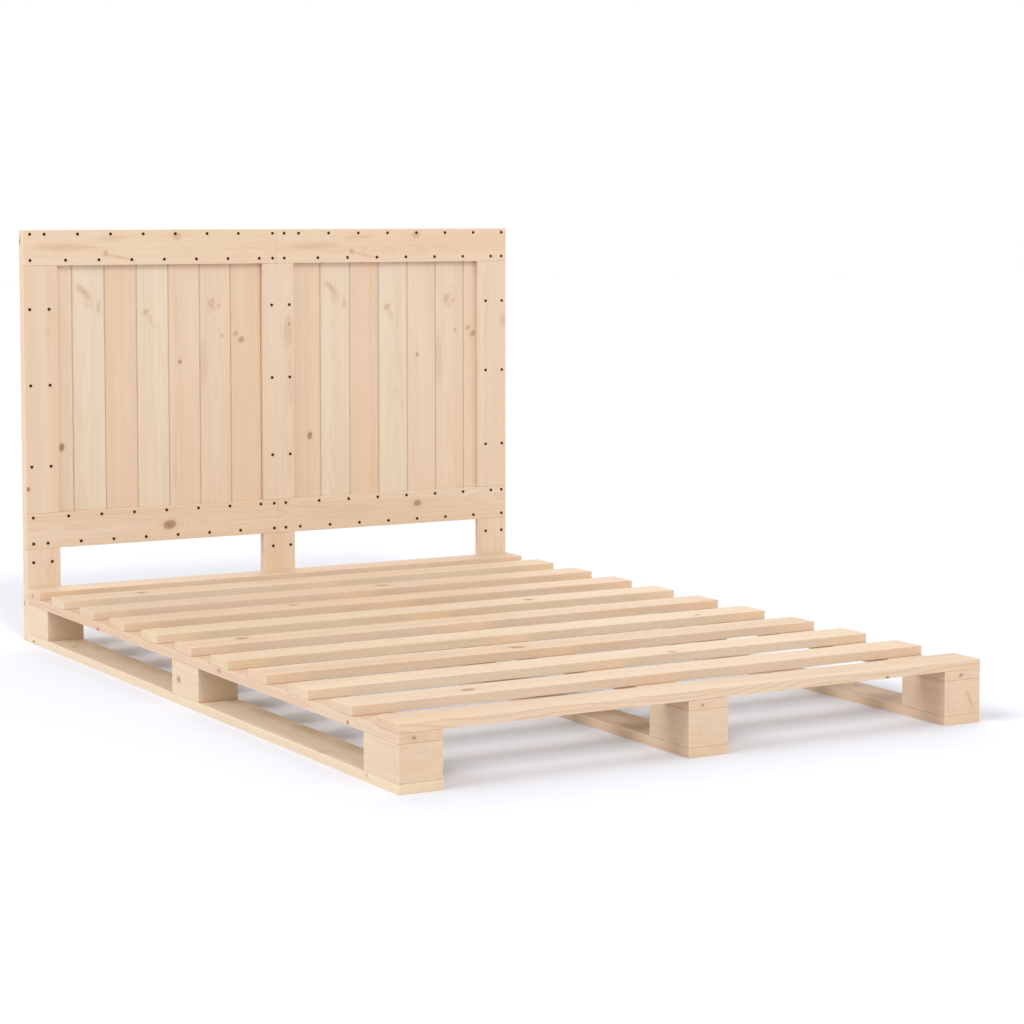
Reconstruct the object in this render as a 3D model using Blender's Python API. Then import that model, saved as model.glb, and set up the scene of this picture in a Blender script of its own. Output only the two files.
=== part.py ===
"""A solid pine bed frame: a slatted base on blocks and runners, and a boarded headboard.

Lengths are metres and +Z is up. The foot of the bed is at -Y, the headboard at +Y,
and left and right are as seen from the foot. The origin is on the floor, under the
middle of the whole frame.
"""

import math

import bmesh
import bpy
from mathutils import Matrix

for leftover in list(bpy.data.objects):
    bpy.data.objects.remove(leftover)

# Driving sizes of the whole bed

bed_width = 1.400
base_length = 2.020
headboard_height = 1.041

# Space left between pieces that touch

gap = 0.0003

# Base: three rows of runner, blocks and stringer, and the slats across them

row_width = 0.095
runner_thickness = 0.020
block_length = 0.144
block_height = 0.075
stringer_thickness = 0.020
slat_width = 0.088
slat_thickness = 0.020
slat_count = 11
last_slat_space = 0.0845

# Headboard: a front frame of rails, stiles and leg facings on a layer of upright boards

frame_thickness = 0.014
board_thickness = 0.014
rail_height = 0.090
stile_width = 0.090
middle_stile_offset = 0.004
panel_bottom = 0.234
wide_leg_board = 0.046
narrow_leg_board = 0.0394
panel_boards_in_half = 7

# Eased edges

rounded_edge = 0.001
panel_chamfer = 0.002
edge_segments = 2

# Bolts that hold the headboard's legs to the base

bolt_head_radius = 0.0085
bolt_head_thickness = 0.0025
bolt_shank_radius = 0.003
bolt_shank_length = 0.070
bolt_tip_length = 0.003
bolt_tip_radius = 0.0018
bolt_recess_depth = 0.0032
bolt_hole_clearance = 0.0003
bolt_end_clearance = 0.002
hex_socket_radius = 0.0028
hex_socket_depth = 0.0016
bolt_height_shares = (0.74, 0.26)
round_sides = 24
hex_sides = 6
cut_overrun = 0.002

# Levels and planes worked out from the sizes

block_bottom = runner_thickness + gap
stringer_bottom = block_bottom + block_height + gap
slat_bottom = stringer_bottom + stringer_thickness + gap
deck_top = slat_bottom + slat_thickness

overall_length = base_length + gap + frame_thickness + gap + board_thickness
foot = -overall_length / 2
head = foot + base_length
frame_front = head + gap
frame_back = frame_front + frame_thickness
board_front = frame_back + gap
board_back = board_front + board_thickness

left_side = -bed_width / 2
right_side = bed_width / 2
half_width = (bed_width - gap) / 2
half_starts = {"left": left_side, "right": gap / 2}

row_centres = {
    "left": left_side + row_width / 2,
    "middle": 0,
    "right": right_side - row_width / 2,
}
stile_centres = {
    "left": left_side + stile_width / 2,
    "middle": middle_stile_offset,
    "right": right_side - stile_width / 2,
}


def wood(name, colour):
    """The board's own clear pine finish."""
    material = bpy.data.materials.new(name + "_pine")
    material.use_nodes = True
    surface = material.node_tree.nodes["Principled BSDF"]
    surface.inputs["Base Color"].default_value = colour
    surface.inputs["Roughness"].default_value = 0.62
    surface.inputs["Metallic"].default_value = 0
    return material


def steel(name):
    """Bright zinc-plated steel."""
    material = bpy.data.materials.new(name + "_steel")
    material.use_nodes = True
    surface = material.node_tree.nodes["Principled BSDF"]
    surface.inputs["Base Color"].default_value = (0.62, 0.61, 0.58, 1)
    surface.inputs["Roughness"].default_value = 0.35
    surface.inputs["Metallic"].default_value = 1
    return material


cream = (0.82, 0.66, 0.46, 1)
honey = (0.76, 0.58, 0.39, 1)
rosy = (0.78, 0.60, 0.43, 1)


def board(name, across, along, upright, colour=cream, easing=rounded_edge, segments=edge_segments):
    """A sawn board filling three spans, each given as its low and high end, with eased edges."""
    spans = (across, along, upright)
    sizes = [high - low for low, high in spans]
    shape = bmesh.new()
    bmesh.ops.create_cube(shape, size=1)
    bmesh.ops.scale(shape, vec=sizes, verts=shape.verts)
    mesh = bpy.data.meshes.new(name)
    shape.to_mesh(mesh)
    shape.free()
    mesh.materials.append(wood(name, colour))
    piece = bpy.data.objects.new(name, mesh)
    piece.location = [(low + high) / 2 for low, high in spans]
    bpy.context.scene.collection.objects.link(piece)
    edge = piece.modifiers.new("eased edges", "BEVEL")
    edge.width = min(easing, min(sizes) / 4)
    edge.segments = segments
    edge.limit_method = "ANGLE"
    return piece


def span(centre, size):
    """The low and high end of a size set about a centre."""
    return centre - size / 2, centre + size / 2


def turned(name, outline):
    """A solid turned about its own Z from an outline of radius and height, lowest point first."""
    shape = bmesh.new()
    points = [shape.verts.new((radius, 0, height)) for radius, height in outline]
    edges = [shape.edges.new(pair) for pair in zip(points, points[1:])]
    bmesh.ops.spin(
        shape,
        geom=points + edges,
        cent=(0, 0, 0),
        axis=(0, 0, 1),
        angle=2 * math.pi,
        steps=round_sides,
        use_merge=True,
    )
    bmesh.ops.remove_doubles(shape, verts=shape.verts, dist=gap / 10)
    bmesh.ops.recalc_face_normals(shape, faces=shape.faces)
    mesh = bpy.data.meshes.new(name)
    shape.to_mesh(mesh)
    shape.free()
    piece = bpy.data.objects.new(name, mesh)
    bpy.context.scene.collection.objects.link(piece)
    return piece


def cut(piece, cutter):
    """Takes the cutter's shape out of a piece."""
    cutter.hide_render = True
    cutter.display_type = "WIRE"
    cutting = piece.modifiers.new("cut " + cutter.name, "BOOLEAN")
    cutting.operation = "DIFFERENCE"
    cutting.solver = "EXACT"
    cutting.object = cutter


# Base, from the floor up: runners, blocks and stringers lie over each other in three rows

block_spans = {
    "foot": (foot, foot + block_length),
    "centre": span(foot + base_length / 2, block_length),
    "head": (head - block_length, head),
}
blocks = {}
for row, centre in row_centres.items():
    across = span(centre, row_width)
    board(f"runner_{row}", across, (foot, head), (0, runner_thickness))
    for place, along in block_spans.items():
        upright = (block_bottom, block_bottom + block_height)
        blocks[row, place] = board(f"block_{row}_{place}", across, along, upright, honey)
    upright = (stringer_bottom, stringer_bottom + stringer_thickness)
    board(f"stringer_{row}", across, (foot, head), upright)

# Slats: evenly spaced from the foot, and the last one close against the headboard

slat_pitch = (base_length - 2 * slat_width - last_slat_space) / (slat_count - 2)
slat_fronts = [foot + slat_pitch * place for place in range(slat_count - 1)]
slat_fronts.append(head - slat_width)
for number, front in enumerate(slat_fronts, start=1):
    along = (front, front + slat_width)
    board(f"deck_slat_{number:02d}", (left_side, right_side), along, (slat_bottom, deck_top))

# Headboard's front layer: two-part rails at top and bottom, stiles between them, leg facings below

front_layer = (frame_front, frame_back)
top_rail = (headboard_height - rail_height, headboard_height)
bottom_rail = (panel_bottom, panel_bottom + rail_height)
for half, start in half_starts.items():
    across = (start, start + half_width)
    board(f"top_rail_{half}", across, front_layer, top_rail)
    board(f"bottom_rail_{half}", across, front_layer, bottom_rail, honey)

leg_facings = {}
for row, centre in stile_centres.items():
    across = span(centre, stile_width)
    board(f"stile_{row}", across, front_layer, (bottom_rail[1] + gap, top_rail[0] - gap))
    leg_facings[row] = board(f"leg_facing_{row}", across, front_layer, (0, panel_bottom - gap))

# Headboard's rear layer: in each half a leg board, the panel boards and a narrower leg board

rear_layer = (board_front, board_back)
gaps_in_half = panel_boards_in_half + 1
boarded_width = half_width - wide_leg_board - narrow_leg_board - gaps_in_half * gap
panel_board_width = boarded_width / panel_boards_in_half
panel_tones = (rosy, cream)
leg_boards = {}
for half, start in half_starts.items():
    across = (start, start + wide_leg_board)
    leg_boards[half, "wide"] = (
        board(f"leg_board_{half}_wide", across, rear_layer, (0, headboard_height), rosy),
        across,
    )
    edge_of_panel = across[1] + gap
    for number in range(panel_boards_in_half):
        low = edge_of_panel + number * (panel_board_width + gap)
        board(
            f"panel_board_{half}_{number + 1}",
            (low, low + panel_board_width),
            rear_layer,
            (panel_bottom, headboard_height),
            panel_tones[number % len(panel_tones)],
            panel_chamfer,
            1,
        )
    across = (start + half_width - narrow_leg_board, start + half_width)
    leg_boards[half, "narrow"] = (
        board(f"leg_board_{half}_narrow", across, rear_layer, (0, headboard_height), cream),
        across,
    )

# Bolts: from the back through each leg and into the end block, with heads let in below the back

bolt_seat = board_back - bolt_recess_depth
bolt_outline = [
    (0, -bolt_shank_length),
    (bolt_tip_radius, -bolt_shank_length),
    (bolt_shank_radius, bolt_tip_length - bolt_shank_length),
    (bolt_shank_radius, 0),
    (bolt_head_radius, 0),
    (bolt_head_radius, bolt_head_thickness),
    (0, bolt_head_thickness),
]
hole_radius = bolt_shank_radius + bolt_hole_clearance
recess_radius = bolt_head_radius + bolt_hole_clearance
hole_outline = [
    (0, -bolt_shank_length - bolt_end_clearance),
    (hole_radius, -bolt_shank_length - bolt_end_clearance),
    (hole_radius, -gap),
    (recess_radius, -gap),
    (recess_radius, bolt_recess_depth + cut_overrun),
    (0, bolt_recess_depth + cut_overrun),
]
backwards = Matrix.Rotation(math.radians(-90), 4, "X")


def leg_bolt(name, leg_board, across, facing, block, height_share):
    """A flat-headed bolt in its bore, through a leg board and its facing into a block."""
    place = ((across[0] + across[1]) / 2, bolt_seat, block_bottom + block_height * height_share)
    placed = Matrix.Translation(place) @ backwards
    bore = turned(name + "_bore", hole_outline)
    bore.matrix_world = placed
    for piece in (leg_board, facing, block):
        cut(piece, bore)
    bolt = turned(name, bolt_outline)
    bolt.matrix_world = placed
    bolt.data.materials.append(steel(name))
    bolt.data.shade_smooth()
    bolt.data.set_sharp_from_angle(angle=math.radians(30))
    shape = bmesh.new()
    bmesh.ops.create_cone(
        shape,
        cap_ends=True,
        segments=hex_sides,
        radius1=hex_socket_radius,
        radius2=hex_socket_radius,
        depth=2 * hex_socket_depth,
        matrix=Matrix.Translation((0, 0, bolt_head_thickness)),
    )
    mesh = bpy.data.meshes.new(name + "_socket")
    shape.to_mesh(mesh)
    shape.free()
    socket = bpy.data.objects.new(name + "_socket", mesh)
    socket.matrix_world = placed
    bpy.context.scene.collection.objects.link(socket)
    cut(bolt, socket)


outer_keys = {"left": ("left", "wide"), "right": ("right", "narrow")}
for row, key in outer_keys.items():
    leg_board, across = leg_boards[key]
    for level, height_share in zip(("upper", "lower"), bolt_height_shares):
        name = f"leg_bolt_{row}_{level}"
        leg_bolt(name, leg_board, across, leg_facings[row], blocks[row, "head"], height_share)

middle_keys = (("left", "narrow"), ("right", "wide"))
for key, level, height_share in zip(middle_keys, ("upper", "lower"), bolt_height_shares):
    leg_board, across = leg_boards[key]
    name = f"leg_bolt_middle_{level}"
    leg_bolt(name, leg_board, across, leg_facings["middle"], blocks["middle", "head"], height_share)
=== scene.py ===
import math
import random
from typing import NamedTuple

import bpy
from mathutils import Matrix, Vector


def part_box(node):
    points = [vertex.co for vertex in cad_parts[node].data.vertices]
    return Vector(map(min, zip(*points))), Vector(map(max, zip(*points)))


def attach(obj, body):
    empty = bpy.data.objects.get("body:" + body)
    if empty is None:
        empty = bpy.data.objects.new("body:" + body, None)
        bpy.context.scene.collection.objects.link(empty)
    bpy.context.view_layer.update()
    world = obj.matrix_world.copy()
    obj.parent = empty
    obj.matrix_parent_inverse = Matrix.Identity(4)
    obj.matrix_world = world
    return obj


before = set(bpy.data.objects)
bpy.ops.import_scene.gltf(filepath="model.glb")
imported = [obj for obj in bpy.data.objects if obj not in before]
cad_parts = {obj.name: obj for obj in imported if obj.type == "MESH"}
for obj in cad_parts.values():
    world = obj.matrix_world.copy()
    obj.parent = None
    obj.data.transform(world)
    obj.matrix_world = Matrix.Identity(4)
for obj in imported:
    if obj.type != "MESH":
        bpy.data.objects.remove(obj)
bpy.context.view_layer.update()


# The three runners lie flat on the floor, one under each row of blocks.
# Each is a planed pine board with eased edges, sawn a little to one side of the tree's heart,
# so its upper face shows long flames of grain and its ends show arcs.
class Shade:
    """One socket of a material. Sums written with it become nodes beside it."""

    def __init__(self, socket):
        self.socket = socket

    def node(self, kind, settings, sockets, out=0):
        """Adds a node, set up first and then fed with numbers or other shades, and gives one output."""
        node = self.socket.id_data.nodes.new(kind)
        for name, value in settings.items():
            setattr(node, name, value)
        feed(node, sockets)
        return Shade(node.outputs[out])

    def math(self, operation, *others):
        return self.node("ShaderNodeMath", {"operation": operation}, dict(enumerate((self, *others))))

    def __add__(self, other):
        return self.math("ADD", other)

    __radd__ = __add__

    def __sub__(self, other):
        return self.math("SUBTRACT", other)

    def __rsub__(self, other):
        return self.math("MULTIPLY_ADD", -1.0, other)

    def __mul__(self, other):
        return self.math("MULTIPLY", other)

    __rmul__ = __mul__

    def __truediv__(self, other):
        return self.math("DIVIDE", other)

    def __pow__(self, other):
        return self.math("POWER", other)

    def __abs__(self):
        return self.math("ABSOLUTE")

    def ease(self, start, end):
        """0 before start and 1 after end, with a soft turn at both."""
        return self.node(
            "ShaderNodeMapRange", {"interpolation_type": "SMOOTHSTEP"}, {0: self, 1: start, 2: end}
        )

    def parts(self):
        """The three numbers of a vector or colour."""
        split = self.node("ShaderNodeSeparateXYZ", {}, {0: self}).socket.node
        return [Shade(output) for output in split.outputs]

    def between(self, first, second, mode="MIX"):
        """The first colour where this number is 0, and the second where it is 1."""
        settings = {"data_type": "RGBA", "blend_type": mode}
        return self.node("ShaderNodeMix", settings, {0: self, 6: first, 7: second}, out=2)

    def tinted(self, amount, tint):
        """This colour, multiplied by a tint where the amount is 1."""
        return amount.between(self, (*tint, 1.0), "MULTIPLY")

    def noise(self, stretch, seed, detail=2.0, rough=0.5, out=0):
        """Noise over this place, with the number of waves to the metre along each axis."""
        aside = (seed, -seed * 1.7, seed * 0.6)
        place = self.node("ShaderNodeMapping", {}, {"Vector": self, "Scale": stretch, "Location": aside})
        sockets = {"Vector": place, "Scale": 1.0, "Detail": detail, "Roughness": rough}
        return self.node("ShaderNodeTexNoise", {}, sockets, out)

    def relief(self, strength):
        """The bump that this height in metres gives to a surface."""
        return self.node("ShaderNodeBump", {}, {"Strength": strength, "Distance": 1.0, "Height": self})


def feed(node, sockets):
    """Sets sockets of a node to numbers and colours, or links shades to them."""
    for name, value in sockets.items():
        if isinstance(value, Shade):
            node.id_data.links.new(value.socket, node.inputs[name])
        else:
            node.inputs[name].default_value = value


def read(shader, what):
    """What a shader knows of each place, such as its Object coordinates or its Normal."""
    coordinates = shader.id_data.nodes.new("ShaderNodeTexCoord")
    return Shade(coordinates.outputs[what])


def new_material(name):
    """A new material and its shader."""
    material = bpy.data.materials.new(name)
    material.use_nodes = True
    return material, material.node_tree.nodes["Principled BSDF"]


def dress(name, material):
    """Gives one piece of the frame its material."""
    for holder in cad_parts[name].material_slots:
        holder.material = material


class Knot(NamedTuple):
    """Where a branch went through a board, and how it shows on one of the board's faces."""

    side: str  # the face: left, right, top, or front, which is towards the foot of the bed
    spot: tuple  # its two coordinates on that face, in the order x, y, z
    radius: float  # half its width
    brown: float  # 1 for a dark branch
    firm: float = 0.0  # 0 for a soft cloud, 1 for a sharp edge
    longer: float = 1.0  # its length over its width
    lean: float = 0.0  # how far its length slopes across the grain


def from_knot(knot, low, high, order, axes, ripple):
    """How far each place in a board is from a knot: 0 at its middle, 1 at its rim. Deep inside it ends."""
    axis, corner = {"left": (0, low), "right": (0, high), "front": (1, low), "top": (2, high)}[knot.side]
    place = list(knot.spot)
    place.insert(axis, corner[axis])
    away = Vector(place) - (low + high) / 2
    along, across = (i for i in order if i != axis)
    first = axes[along] - away[along]
    second = axes[across] - away[across] - knot.lean * first
    inward = abs(axes[axis] - away[axis])
    spread = (first / (knot.radius * knot.longer)) ** 2 + (second / knot.radius) ** 2
    return spread + (ripple - 0.5) * 0.9 + inward.ease(0.02, 0.045) * 9


def knotted(wood, knot, spread):
    """The wood with a knot in it, and how firm the knot is at each place.

    A soft reddish cloud lies round the brown of the branch, which has a darker rim and middle.
    """
    brown, firm = knot.brown, knot.firm
    cloud = 1 - spread.ease(0.6, 6.0)
    core = 1 - spread.ease(0.15 + 0.45 * firm, 1.9 - 0.7 * firm)
    rim = spread.ease(0.35, 0.85) * (1 - spread.ease(0.95, 1.7))
    dot = 1 - spread.ease(0.0, 0.22)
    branch = (0.50 - 0.14 * firm, 0.31 - 0.03 * firm, 0.19 - 0.02 * firm)
    wood = wood.tinted(cloud * (0.40 * brown), (0.88, 0.74, 0.60))
    wood = wood.tinted(core * brown, branch)
    wood = wood.tinted((rim * 0.5 + dot * 0.6) * (brown * firm), (0.55, 0.42, 0.33))
    return wood, core * firm


def on_edge(axes, half):
    """1 on the eased edges of a board, where two of the three ways out of it are short."""
    gaps = [half[i] - abs(axes[i]) for i in range(3)]
    nearest = gaps[0].math("MINIMUM", gaps[1]).math("MINIMUM", gaps[2])
    farthest = gaps[0].math("MAXIMUM", gaps[1]).math("MAXIMUM", gaps[2])
    second = gaps[0] + gaps[1] + gaps[2] - nearest - farthest
    return 1 - second.ease(0.0006, 0.0034)


def pine(
    name, grain, face, sap, heart, pith, seed, knots=(),
    ring=0.0034, figure=0.42, sway=1.0, heart_edge=0.05, edge_wear_and_painted_light=(1.07, 1.06, 1.05),
):
    """Cuts one board of the bed out of its own piece of solid pine.

    grain and face are the axes of the board's length and width. sap and heart are the colours of the
    outer and inner wood, and pith is how far the middle of the tree lies from the board's own middle,
    across its width and its thickness. ring is the width of a year ring, figure how strongly it shows,
    and sway how crooked the tree grew. heart_edge is how far the inner wood reaches out from the pith,
    and the last argument tints the eased edges: the pale default is part wear, part painted highlight,
    and a dark tint is painted shade.
    """
    low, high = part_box(name)
    middle = (low + high) / 2
    material, surface = new_material(f"pine_{name}")
    place = read(surface, "Object")
    place = place.node("ShaderNodeMapping", {}, {"Vector": place, "Location": -middle})
    axes = place.parts()

    # The board's own directions: along its length, its width and its thickness.
    order = ["XYZ".index(grain), "XYZ".index(face)]
    order.append(3 - sum(order))
    length, width, depth = (axes[i] for i in order)
    board = place.node("ShaderNodeCombineXYZ", {}, {0: length, 1: width, 2: depth})

    # The tree's middle wanders along the board, and each branch pushes the year rings aside.
    wander_beside = 0.055 * sway
    wander_above = 0.045 * sway
    waves = 0.0045 * sway
    drift = board.noise((1.4, 0.0, 0.0), seed, detail=1.0, out=1).parts()
    ripple = board.noise((7.0, 18.0, 18.0), seed + 3.1)
    beside = width - pith[0] + (drift[0] - 0.5) * wander_beside
    above = depth - pith[1] + (drift[1] - 0.5) * wander_above
    radius = (beside * beside + above * above) ** 0.5 + (ripple - 0.5) * waves
    spreads = [from_knot(knot, low, high, order, axes, ripple) for knot in knots]
    for knot, spread in zip(knots, spreads):
        push = knot.radius * min(1.1, 2.2 * knot.brown)
        radius = radius - (spread * -0.22).math("EXPONENT") * push

    # Patterns drawn out along the grain, from bands as wide as the board to single fibres.
    uneven = board.noise((0.6, 16.0, 16.0), seed + 7.7, detail=1.0)
    bands = board.noise((0.9, 24.0, 24.0), seed + 11.3)
    stripes = board.noise((0.5, 75.0, 75.0), seed + 12.9)
    clouds = board.noise((3.5, 13.0, 13.0), seed + 14.1)
    streaks = board.noise((3.2, 210.0, 210.0), seed + 17.9, rough=0.6)
    fibres = board.noise((9.0, 950.0, 950.0), seed + 23.3, rough=0.6)

    # Year rings: pale early wood that darkens slowly to a thin line of late wood.
    turn = (radius / ring + uneven * (2.0 * sway)).math("FRACT")
    late = turn ** 3.0 * (1 - turn.ease(0.92, 1.0))

    # The colour starts from sapwood and heartwood, and each pattern and knot adds its tint.
    fade = 0.012
    honey = (sap[0] * 0.95, sap[1] * 0.87, sap[2] * 0.74, 1.0)
    rosy = (sap[0] * 0.98, sap[1] * 0.93, sap[2] * 0.90, 1.0)
    wood = (1 - radius.ease(heart_edge - fade, heart_edge + fade)).between(sap, heart)
    wood = (bands.ease(0.45, 0.70) * 0.46).between(wood, honey)
    wood = (clouds.ease(0.46, 0.68) * 0.38).between(wood, rosy)
    wood = wood.tinted(stripes.ease(0.40, 0.66) * 0.45, (0.965, 0.945, 0.915))
    wood = wood.tinted(late * figure, (0.86, 0.75, 0.61))
    wood = wood.tinted(streaks.ease(0.35, 0.85) * 0.30, (0.88, 0.83, 0.76))
    wood = wood.tinted(fibres.ease(0.30, 0.75) * 0.16, (0.79, 0.71, 0.62))
    raised = 0.0
    for knot, spread in zip(knots, spreads):
        wood, bump = knotted(wood, knot, spread)
        raised = raised + bump

    # End grain drinks in more dust than a planed face. A pale tint on the eased edges is part wear, part
    # painted highlight; a dark tint there is painted shade.
    end = abs(read(surface, "Normal").parts()[order[0]]).ease(0.55, 0.85)
    edge = on_edge(axes, (high - low) / 2)
    wood = wood.tinted(end * 0.3, (0.93, 0.90, 0.85))
    wood = wood.tinted(edge * (0.55 + bands * 0.5), edge_wear_and_painted_light)
    height = fibres * 0.00006 + streaks * 0.00009 - late * 0.00005 + raised * 0.00012
    feed(surface, {
        "Base Color": wood,
        "Roughness": 0.54 + fibres * 0.16 - late * 0.07 + end * 0.16,
        "Specular IOR Level": 0.30,
        "Normal": height.relief(0.8),
    })
    dress(name, material)


studio_light = 1.20


def seen(*values):
    """The surface colour that looks like these 0 to 255 values under the studio light."""
    return (*(((value / 255 + 0.055) / 1.055) ** 2.4 / studio_light for value in values), 1.0)


cream = seen(240, 220, 192)
straw = seen(234, 208, 181)
blush = seen(232, 204, 178)
tan = seen(228, 199, 171)
runners = (
    ("left", cream, straw, (0.018, -0.062), [
        Knot("left", (0.952, 0.006), 0.0030, brown=0.9, firm=0.9, longer=2.2),
        Knot("left", (-0.894, 0.014), 0.0030, brown=0.5, firm=0.5, longer=1.4, lean=0.3),
        Knot("top", (-0.669, 0.746), 0.0070, brown=0.35, firm=0.2, longer=1.8, lean=0.1),
        Knot("top", (-0.628, -0.06), 0.0100, brown=0.45, firm=0.5, longer=1.5, lean=-0.1),
        Knot("top", (-0.690, -0.683), 0.0060, brown=0.30, firm=0.2, longer=2.6),
    ]),
    ("middle", straw, tan, (-0.026, -0.055), [
        Knot("top", (0.018, 0.44), 0.0100, brown=0.7, firm=0.6, longer=1.5, lean=0.2),
        Knot("top", (-0.021, -0.52), 0.0070, brown=0.6, firm=0.8, longer=1.4),
    ]),
    ("right", straw, blush, (0.010, 0.074), [
        Knot("top", (0.640, 0.12), 0.0120, brown=0.7, firm=0.6, longer=1.4, lean=-0.1),
        Knot("top", (0.671, -0.64), 0.0060, brown=0.5, firm=0.4, longer=1.6),
    ]),
)
for seed, (row, sap, heart, pith, knots) in enumerate(runners, 1):
    pine(f"runner_{row}", "Y", "X", sap, heart, pith, seed, knots)


# Nine blocks hold the deck off the floor, three on each runner at its foot, middle and head. They are
# short lengths of thick pine, sawn far from the heart, so their year rings are wide and nearly level.
buff = seen(233, 207, 180)
pale = seen(236, 213, 185)
sand = seen(231, 203, 175)
pith_below = -0.50
wide_ring = 0.0160
faint_figure = 0.26
blocks = (
    ("left_foot", buff, 0.030, []),
    ("left_centre", pale, -0.050, [
        Knot("left", (0.02, 0.055), 0.0070, brown=0.6, firm=0.7, longer=1.4),
    ]),
    ("left_head", pale, 0.020, []),
    ("middle_foot", buff, -0.040, []),
    ("middle_centre", buff, 0.045, [
        Knot("right", (-0.03, 0.060), 0.0080, brown=0.6, firm=0.6, longer=1.3, lean=0.1),
    ]),
    ("middle_head", pale, 0.010, []),
    ("right_foot", buff, -0.020, [
        Knot("front", (0.672, 0.051), 0.0088, brown=0.28, longer=0.85, lean=-1.87),
    ]),
    ("right_centre", buff, 0.060, [
        Knot("right", (0.01, 0.045), 0.0075, brown=0.6, firm=0.6, longer=1.5),
    ]),
    ("right_head", pale, -0.030, []),
)
for seed, (place, sap, pith_aside, knots) in enumerate(blocks, 4):
    pine(
        f"block_{place}", "Y", "X", sap, sand, (pith_aside, pith_below), seed, knots,
        ring=wide_ring, figure=faint_figure, sway=0.3,
    )


# Three stringers lie on the blocks and carry the slats. Each is one long pine board that holds the heart
# of a young tree, so a dark spot of pith shows on its end between the block and the foot slat.
young_heart = 0.028
stringers = (
    ("left", blush, tan, (-0.0143, -0.0003), [
        Knot("front", (-0.6668, 0.1053), 0.0032, brown=0.62, firm=0.5, longer=1.3),
        Knot("left", (0.508, 0.0990), 0.0034, brown=0.8, firm=0.8, longer=1.8),
        Knot("left", (-0.814, 0.1020), 0.0034, brown=0.7, firm=0.8, longer=1.5),
        Knot("left", (-0.20, 0.1080), 0.0045, brown=0.5, firm=0.4, longer=2.0, lean=0.1),
    ]),
    ("middle", straw, blush, (-0.0152, -0.0010), [
        Knot("front", (-0.0152, 0.1048), 0.0030, brown=0.62, firm=0.5, longer=1.2),
        Knot("left", (-0.41, 0.1040), 0.0050, brown=0.6, firm=0.6, longer=1.6),
    ]),
    ("right", straw, blush, (-0.0048, 0.0002), [
        Knot("front", (0.6478, 0.1050), 0.0032, brown=0.60, firm=0.4, longer=1.8, lean=0.3),
        Knot("left", (0.33, 0.1050), 0.0050, brown=0.6, firm=0.6, longer=1.6),
    ]),
)
for seed, (row, sap, heart, pith, knots) in enumerate(stringers, 13):
    pine(f"stringer_{row}", "Y", "X", sap, heart, pith, seed, knots, sway=0.35, heart_edge=young_heart)


# Eleven slats cross the stringers and make the deck. They are planed pine boards with their grain from
# side to side, each from another part of the log. The gaps are even, but for a narrower one at the head.
slats = (
    (straw, tan, (0.012, -0.030), 1.9,
     Knot("front", (0.450, 0.1178), 0.0032, brown=0.8, firm=0.8, longer=1.2, lean=0.2)),
    (straw, blush, (-0.020, -0.052), 1.0,
     Knot("top", (-0.42, -0.79), 0.0095, brown=0.7, firm=0.6, longer=1.6, lean=0.1)),
    (pale, straw, (0.026, -0.070), 1.0,
     Knot("top", (0.18, -0.62), 0.0070, brown=0.6, firm=0.8, longer=1.5)),
    (straw, tan, (-0.010, 0.050), 1.0,
     Knot("top", (-0.08, -0.40), 0.0120, brown=0.6, firm=0.4, longer=1.5, lean=-0.2)),
    (pale, blush, (0.030, -0.058), 1.0,
     Knot("top", (0.52, -0.22), 0.0060, brown=0.7, firm=0.9, longer=1.4)),
    (straw, blush, (-0.028, -0.046), 1.2,
     Knot("top", (-0.55, 0.01), 0.0100, brown=0.6, firm=0.5, longer=1.6, lean=0.2)),
    (pale, straw, (0.008, 0.064), 1.0,
     Knot("top", (0.30, 0.19), 0.0085, brown=0.7, firm=0.7, longer=1.5)),
    (straw, tan, (0.022, -0.050), 1.0,
     Knot("top", (-0.24, 0.40), 0.0075, brown=0.6, firm=0.8, longer=1.4, lean=0.1)),
    (straw, blush, (-0.016, -0.060), 1.0,
     Knot("top", (0.10, 0.59), 0.0110, brown=0.6, firm=0.5, longer=1.6, lean=-0.1)),
    (pale, blush, (0.018, 0.056), 1.1,
     Knot("top", (-0.48, 0.78), 0.0080, brown=0.7, firm=0.7, longer=1.5)),
    (straw, tan, (-0.024, -0.048), 1.0,
     Knot("left", (0.955, 0.1215), 0.0040, brown=0.8, firm=0.8)),
)
bold_rings = {"ring": 0.0062, "figure": 0.9}
for number, (sap, heart, pith, sway, knot) in enumerate(slats, 1):
    rings = bold_rings if number == 1 else {}
    pine(f"deck_slat_{number:02d}", "X", "Y", sap, heart, pith, 20 + number, [knot], sway=sway, **rings)


# Four leg boards of planed pine run behind the headboard's frame from the floor to its top: in each half
# a wide one at the left edge and a narrow one at the right edge. Three short facing boards stand in front
# of them, one to a leg, from the floor to the bottom rail.
milk = seen(239, 222, 200)
oat = seen(238, 215, 190)
peach = seen(237, 211, 185)
wheat = seen(234, 206, 177)
legs = (
    ("leg_board_left_wide", peach, wheat, (0.030, 0.050), [
        Knot("left", (1.0173, 1.012), 0.0034, brown=0.8, firm=0.7, longer=2.4),
        Knot("left", (1.0173, 0.095), 0.0030, brown=0.8, firm=0.7, longer=2.2),
    ]),
    ("leg_board_left_narrow", oat, peach, (-0.020, 0.060), []),
    ("leg_board_right_wide", oat, peach, (-0.016, 0.052), []),
    ("leg_board_right_narrow", peach, wheat, (0.022, 0.058), []),
    ("leg_facing_left", oat, peach, (0.020, 0.060), []),
    ("leg_facing_middle", oat, peach, (-0.025, 0.055), [
        Knot("front", (0.020, 0.115), 0.0080, brown=0.7, firm=0.7, longer=1.5, lean=0.1),
    ]),
    ("leg_facing_right", oat, wheat, (0.015, 0.062), []),
)
for seed, (name, sap, heart, pith, knots) in enumerate(legs, 41):
    pine(name, "Z", "X", sap, heart, pith, seed, knots)


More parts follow.
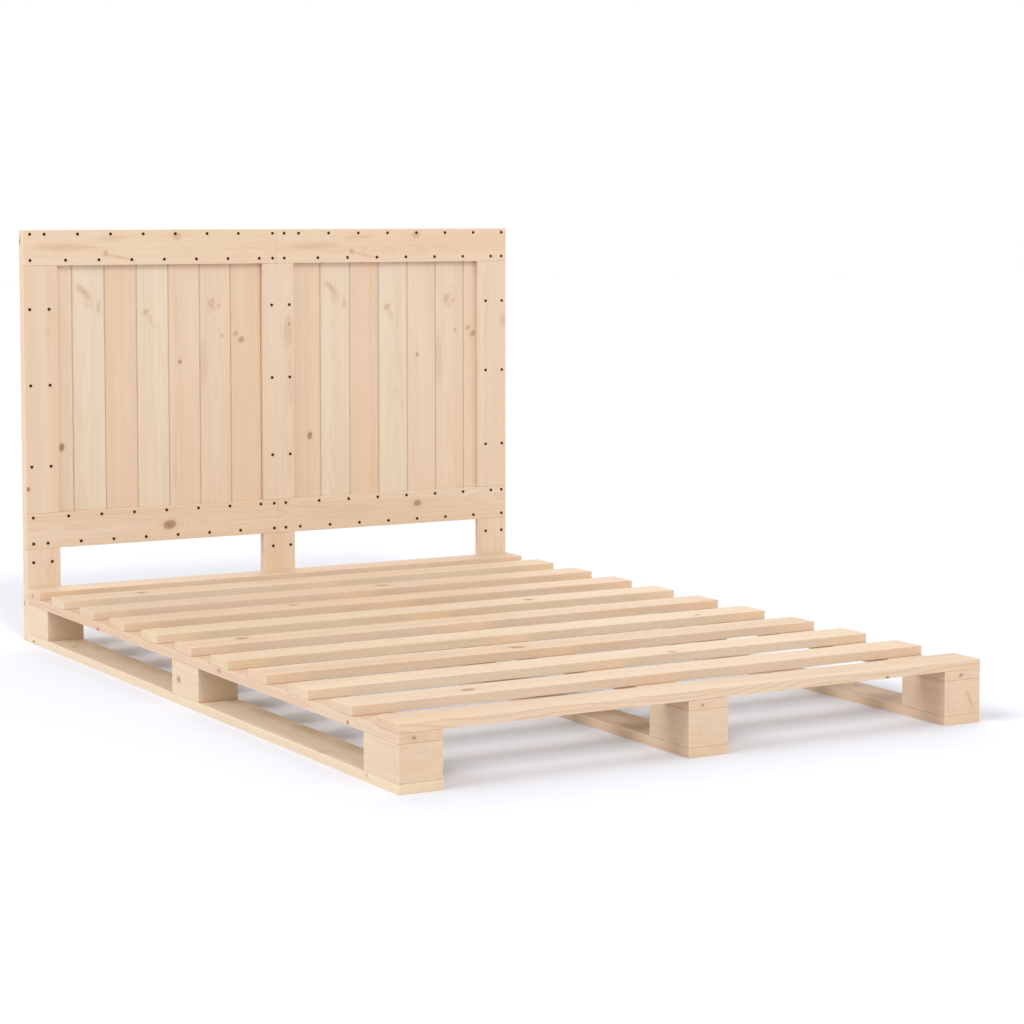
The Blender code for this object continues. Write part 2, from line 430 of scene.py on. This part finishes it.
# Fourteen upright pine boards close the two windows of the headboard, seven a half, with a small bevel
# at every joint. Creamy boards stand between tan ones, and both halves show the same boards in the same
# order. Their knots are placed from the left edge of the half's first board, and from the floor.
def moved(knots, across, up):
    """The same knots, moved over the face that they show on."""
    return [knot._replace(spot=(knot.spot[0] + across, knot.spot[1] + up)) for knot in knots]


quiet_figure = 0.28
old_heart = 0.075
# Painted shade: the bevels where the boards meet are darkened.
painted_bevel_shade = (0.88, 0.85, 0.80)
panel_boards = (
    (oat, oat, (0.060, 0.070), [
        Knot("front", (0.0551, 0.4883), 0.0070, brown=0.7, firm=0.8, longer=1.4, lean=0.1),
    ]),
    (milk, oat, (-0.012, 0.078), [
        Knot("front", (0.1120, 0.8910), 0.0100, brown=0.24, longer=1.1, lean=-0.6),
        Knot("front", (0.1265, 0.8760), 0.0100, brown=0.24, lean=-0.6),
        Knot("front", (0.1320, 0.8540), 0.0110, brown=0.12, longer=1.4),
        Knot("front", (0.1590, 0.8430), 0.0060, brown=0.24, longer=2.4),
    ]),
    (peach, wheat, (0.052, 0.066), []),
    (milk, oat, (0.016, 0.090), [
        Knot("front", (0.2880, 0.8290), 0.0080, brown=0.32, lean=0.4),
        Knot("front", (0.3000, 0.8080), 0.0065, brown=0.13, longer=3.0, lean=-0.35),
    ]),
    (oat, peach, (-0.034, 0.070), [
        Knot("front", (0.3815, 0.6970), 0.0048, brown=0.55, firm=0.7, longer=1.1),
    ]),
    (oat, peach, (0.006, 0.085), [
        Knot("front", (0.4725, 0.8500), 0.0090, brown=0.28, firm=0.2, longer=1.2, lean=0.2),
        Knot("front", (0.4480, 0.6900), 0.0090, brown=0.16, longer=7.0),
        Knot("front", (0.4760, 0.8350), 0.0070, brown=0.16),
        Knot("front", (0.4930, 0.8420), 0.0045, brown=0.26, longer=1.2),
        Knot("front", (0.5010, 0.7625), 0.0042, brown=0.30, firm=0.4, longer=1.2),
    ]),
    (oat, peach, (0.048, 0.064), [
        Knot("front", (0.5405, 0.7675), 0.0060, brown=0.42, firm=0.2, lean=0.3),
        Knot("front", (0.5560, 0.7508), 0.0078, brown=0.52, firm=0.4, lean=0.2),
    ]),
)
for half, seed in (("left", 50), ("right", 60)):
    left_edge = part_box(f"panel_board_{half}_1")[0].x
    for number, (sap, heart, pith, knots) in enumerate(panel_boards, 1):
        pine(
            f"panel_board_{half}_{number}", "Z", "X", sap, heart, pith, seed + number,
            moved(knots, left_edge, 0.0), figure=quiet_figure, heart_edge=old_heart, edge_wear_and_painted_light=painted_bevel_shade,
        )


# The frame of the headboard is nailed on in front of the panel boards: a long pine rail at the top and one
# at the bottom, each in two lengths that meet at the middle, and three upright stiles butted between them.
# Both lengths of the top rail show the same marks.
golden = seen(239, 214, 186)
rail_marks = (
    Knot("front", (0.105, 0.046), 0.0085, brown=0.20, longer=9.0),
    Knot("front", (0.240, 0.068), 0.0050, brown=0.16, longer=8.0, lean=0.05),
    Knot("front", (0.221, 0.030), 0.0070, brown=0.36, longer=0.9),
    Knot("front", (0.262, 0.019), 0.0035, brown=0.22, longer=10.0, lean=-0.20),
    Knot("front", (0.417, 0.073), 0.0095, brown=0.30, firm=0.2, longer=1.2),
)
top_rail_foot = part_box("top_rail_left")[0].z
for name, seed, start in (("top_rail_left", 69.3, -0.70), ("top_rail_right", 70.001, 0.001)):
    pine(
        name, "X", "Z", golden, golden, (-0.016, 0.058), seed,
        moved(rail_marks, start, top_rail_foot), figure=quiet_figure, sway=1.5,
    )
pine(
    "bottom_rail_left", "X", "Z", oat, peach, (0.012, 0.060), 73,
    [Knot("front", (-0.31, 0.275), 0.0110, brown=0.7, firm=0.6, longer=1.5, lean=0.1)],
)
pine(
    "bottom_rail_right", "X", "Z", oat, peach, (0.012, 0.060), 74,
    [Knot("front", (0.42, 0.290), 0.0080, brown=0.6, firm=0.8, longer=1.4)],
)
pine(
    "stile_left", "Z", "X", oat, wheat, (0.062, 0.040), 75,
    [
        Knot("front", (-0.6930, 0.387), 0.0040, brown=0.75, firm=0.8, longer=1.4),
        Knot("front", (-0.6400, 0.782), 0.0080, brown=0.12, longer=1.2),
    ],
    figure=quiet_figure, heart_edge=0.062, sway=0.4,
)
pine(
    "stile_middle", "Z", "X", oat, peach, (0.030, 0.060), 76,
    [
        Knot("front", (0.0320, 0.770), 0.0120, brown=0.24, longer=3.2),
        Knot("front", (0.0380, 0.640), 0.0100, brown=0.14, longer=6.0),
        Knot("front", (0.0350, 0.790), 0.0024, brown=0.55, firm=0.7, longer=1.2),
    ],
    figure=quiet_figure, heart_edge=0.052, sway=0.5,
)
pine(
    "stile_right", "Z", "X", oat, oat, (-0.030, 0.075), 77,
    [Knot("front", (0.6900, 0.785), 0.0090, brown=0.20, longer=1.8)],
    figure=quiet_figure,
)


# Six bolts hold the headboard to the head blocks, two through each leg. They are let into the back,
# with round heads and a hexagon socket, and are of zinc-plated steel, a little cloudy and finely scratched.
dull_zinc = (0.50, 0.51, 0.52, 1.0)
bright_zinc = (0.66, 0.66, 0.64, 1.0)
zinc, zinc_surface = new_material("zinc_plated_steel")
zinc_place = read(zinc_surface, "Object")
cloud = zinc_place.noise((260.0, 260.0, 260.0), 1.3, detail=3.0)
scratch = zinc_place.noise((4000.0, 300.0, 900.0), 2.9)
feed(zinc_surface, {
    "Base Color": cloud.ease(0.3, 0.7).between(dull_zinc, bright_zinc),
    "Metallic": 1.0,
    "Roughness": 0.28 + cloud * 0.18 + scratch * 0.10,
    "Normal": (scratch * 0.00003).relief(0.3),
})
for leg in ("left", "middle", "right"):
    for level in ("upper", "lower"):
        dress(f"leg_bolt_{leg}_{level}", zinc)


# Round steel nails fix the frame of the headboard to the boards behind it: a zigzag along the rails, and
# pairs on the stiles and leg facings. Each has a brown, slightly domed head that stands just proud.
dark_brown = (0.034, 0.012, 0.002, 1.0)
rust_brown = (0.090, 0.034, 0.006, 1.0)
rust, rust_surface = new_material("brown_nail_steel")
rust_place = read(rust_surface, "Object")
mottle = rust_place.noise((700.0, 700.0, 700.0), 4.4, detail=3.0)
pitting = rust_place.noise((2600.0, 2600.0, 2600.0), 8.1)
feed(rust_surface, {
    "Base Color": mottle.ease(0.35, 0.7).between(dark_brown, rust_brown),
    "Metallic": mottle * 0.1,
    "Roughness": 0.66 - mottle * 0.2,
    "Specular IOR Level": 0.12,
    "Normal": (pitting * 0.00004).relief(0.5),
})

head_radius = 0.0041
head_height = 0.0012
dome_steps = ((0.0007, 0.00028), (0.0012, 0.00018), (0.0012, 0.00006))
stile_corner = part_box("stile_left")[0]
frame_face = stile_corner.y
bpy.ops.object.select_all(action="DESELECT")
bpy.ops.mesh.primitive_cylinder_add(
    vertices=14,
    radius=head_radius,
    depth=head_height,
    location=(0.0, frame_face, 0.0),
    rotation=(math.pi / 2, 0.0, 0.0),
)
head = bpy.context.object
bpy.ops.object.transform_apply(location=True, rotation=True, scale=True)
head.data.materials.append(rust)
for face in head.data.polygons:
    face.select = face.normal.y < -0.9
for edge in head.data.edges:
    edge.select = False
for point in head.data.vertices:
    point.select = False
bpy.ops.object.mode_set(mode="EDIT")
bpy.ops.mesh.select_mode(type="FACE")
for inset, rise in dome_steps:
    bpy.ops.mesh.inset(thickness=inset)
    bpy.ops.transform.translate(value=(0.0, -rise, 0.0))
bpy.ops.object.mode_set(mode="OBJECT")
bpy.ops.object.shade_smooth_by_angle(angle=math.radians(40))


def nail_row(first, second, step, last):
    """Nine nails along a rail: one at each end, and seven at an even step between them."""
    return [first, *(second + step * k for k in range(7)), last]


def zigzag(levels, *rows):
    return [(across, up) for up, row in zip(levels, rows) for across in row]


def pairs(levels, *places):
    return [(across, up) for up in levels for across in places]


# Heights are from the floor, and places across from the left edge of the headboard.
high_left = nail_row(0.0187, 0.0568, 0.0889, 0.6885)
low_left = nail_row(0.0187, 0.1128, 0.0895, 0.6885)
high_right = nail_row(0.7222, 0.7646, 0.0886, 1.3855)
low_right = nail_row(0.7222, 0.8210, 0.0885, 1.3855)
top_rail_levels = (1.0302, 0.9646)
bottom_rail_levels = (0.3134, 0.2472)
stile_levels = (0.841, 0.6487, 0.443)
facing_levels = (0.1997,)
nail_sets = {
    "nails_top_rail_left": zigzag(top_rail_levels, high_left, low_left),
    "nails_top_rail_right": zigzag(top_rail_levels, high_right, low_right),
    "nails_bottom_rail_left": zigzag(bottom_rail_levels, low_left, high_left),
    "nails_bottom_rail_right": zigzag(bottom_rail_levels, low_right, high_right),
    "nails_stile_left": pairs(stile_levels, 0.0164, 0.0675),
    "nails_stile_middle": pairs(stile_levels, 0.6848, 0.7362),
    "nails_stile_right": pairs(stile_levels, 1.3354, 1.3871),
    "nails_leg_facing_left": pairs(facing_levels, 0.0179, 0.0675),
    "nails_leg_facing_middle": pairs(facing_levels, 0.6848, 0.7362),
    "nails_leg_facing_right": pairs(facing_levels, 1.3354, 1.3855),
}

# Each nail leans, turns and sits a little differently, as hammered nails do.
most_lean = 0.05
most_spin = 0.4
most_proud = -0.0001
most_sunk = 0.0002
seat = Matrix.Translation((0.0, frame_face, 0.0))
hammer = random.Random(5)
for set_name, places in nail_sets.items():
    heads = []
    for across, up in places:
        nail = head.copy()
        nail.data = head.data.copy()
        bpy.context.scene.collection.objects.link(nail)
        lean_up = Matrix.Rotation(hammer.uniform(-most_lean, most_lean), 4, "X")
        lean_aside = Matrix.Rotation(hammer.uniform(-most_lean, most_lean), 4, "Z")
        spin = Matrix.Rotation(hammer.uniform(0.0, most_spin), 4, "Y")
        nail.data.transform(seat @ lean_up @ lean_aside @ spin @ seat.inverted())
        inward = hammer.uniform(most_proud, most_sunk)
        nail.data.transform(Matrix.Translation((stile_corner.x + across, inward, up)))
        heads.append(nail)
    bpy.ops.object.select_all(action="DESELECT")
    for nail in heads:
        nail.select_set(True)
    bpy.context.view_layer.objects.active = heads[0]
    bpy.ops.object.join()
    heads[0].name = set_name
    heads[0].data.name = set_name
    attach(heads[0], "root")
bpy.data.objects.remove(head)


# The studio: a wide pale floor under soft white light that is dimmer overhead. A small key light from the
# front draws the short shadow under the top rail, and broad lights fill in from the front and the left.
# One from behind on the right lays the soft shadow on the floor in front of the bed and beside it.
floor_width = 60.0
pale_paint = (0.763, 0.768, 0.806, 1.0)
bpy.ops.object.select_all(action="DESELECT")
bpy.ops.mesh.primitive_plane_add(size=floor_width, location=(0.0, 0.0, 0.0))
floor = bpy.context.object
floor.name = "studio_floor"
sweep, sweep_surface = new_material("pale_sweep")
feed(sweep_surface, {"Base Color": pale_paint, "Roughness": 0.9, "Specular IOR Level": 0.1})
floor.data.materials.append(sweep)

overhead_dimming = 0.86
world = bpy.data.worlds.new("studio")
bpy.context.scene.world = world
world.use_nodes = True
background = world.node_tree.nodes["Background"]
upward = read(background, "Generated").parts()[2]
feed(background, {"Color": 1.0 - upward.ease(0.2, 1.0) * overhead_dimming, "Strength": 1.0})

white = (1.0, 1.0, 1.0)
cool_white = (0.97, 1.02, 1.08)
for name, towards, strength, spread, tint in (
    ("key", (-0.15, -1.0, 0.94), 0.62, 9.0, white),
    ("front", (-0.15, -1.0, 0.84), 0.86, 50.0, white),
    ("fill", (-1.0, 0.0, 1.00), 1.65, 34.0, cool_white),
    ("back", (0.50, 1.0, 1.00), 0.95, 60.0, white),
):
    lamp = bpy.data.lights.new(name, "SUN")
    lamp.energy = strength
    lamp.color = tint
    lamp.angle = math.radians(spread)
    light = bpy.data.objects.new(name, lamp)
    light.rotation_euler = Vector(towards).to_track_quat("Z", "Y").to_euler()
    bpy.context.scene.collection.objects.link(light)
bpy.context.scene.view_settings.view_transform = "Standard"


# The camera stands in front of the foot and to its left, a little above the headboard's top. It looks
# slightly down, and its lens is shifted down as well, which keeps the uprights nearly parallel.
picture_width = 1024
focal_pixels = 2597.54
lens_shift = -0.11
look_down = 0.0718
look_right = 0.5269
stand = (-2.9209, -5.2630, 1.0848)
eye = bpy.data.cameras.new("camera")
eye.sensor_width = 36.0
eye.lens = focal_pixels / picture_width * eye.sensor_width
eye.shift_y = lens_shift
eye.clip_end = 200.0
camera = bpy.data.objects.new("camera", eye)
camera.location = stand
camera.rotation_euler = (math.pi / 2 - look_down, 0.0, -look_right)
bpy.context.scene.collection.objects.link(camera)
bpy.context.scene.camera = camera
